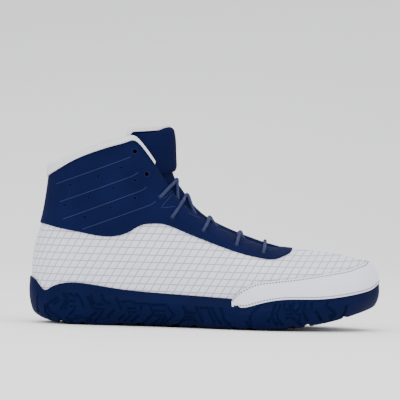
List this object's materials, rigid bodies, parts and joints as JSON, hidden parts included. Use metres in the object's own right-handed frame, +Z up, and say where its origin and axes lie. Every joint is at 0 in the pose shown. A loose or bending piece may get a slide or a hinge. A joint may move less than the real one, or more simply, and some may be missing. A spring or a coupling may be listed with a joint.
{
  "type": "high-top wrestling shoe",
  "caption": "Right high-top wrestling shoe, empty, with ankle panel, toe overlay, bound collar, padded tongue, round laces and a thin rubber cup sole.",
  "frame": {"origin": "on the ground, under the middle of the shoe's length and width", "axes": "+X towards the toe, +Y towards the inner side of the foot, +Z up"},
  "size_m": [0.2912, 0.1062, 0.1676],
  "materials": {
    "sole_rubber": "dark navy rubber, satin, with grooved side wall",
    "insole_fabric": "dark navy knitted lining",
    "vamp_mesh": "white coated textile with a fine slanted grid of grey lines",
    "panel_suede": "navy synthetic suede, matt, with pressed lines and pinholes",
    "overlay_leather": "smooth white synthetic leather with a stitched edge",
    "binding_fabric": "off-white folded tape",
    "tongue_fabric": "navy padded textile",
    "lace_cord": "round braided cord, grey-blue"
  },
  "bodies": {
    "root": {"outsole": "sole_rubber", "insole": "insole_fabric", "upper": "vamp_mesh", "ankle_panel": "panel_suede", "toe_overlay": "overlay_leather", "collar_binding": "binding_fabric", "tongue": "tongue_fabric", "tongue_pad": "panel_suede", "tongue_binding": "binding_fabric", "lace_bar_1": "lace_cord", "lace_cross_2": "lace_cord", "lace_cross_3": "lace_cord", "lace_cross_4": "lace_cord", "lace_cross_5": "lace_cord"}
  },
  "joints": []
}
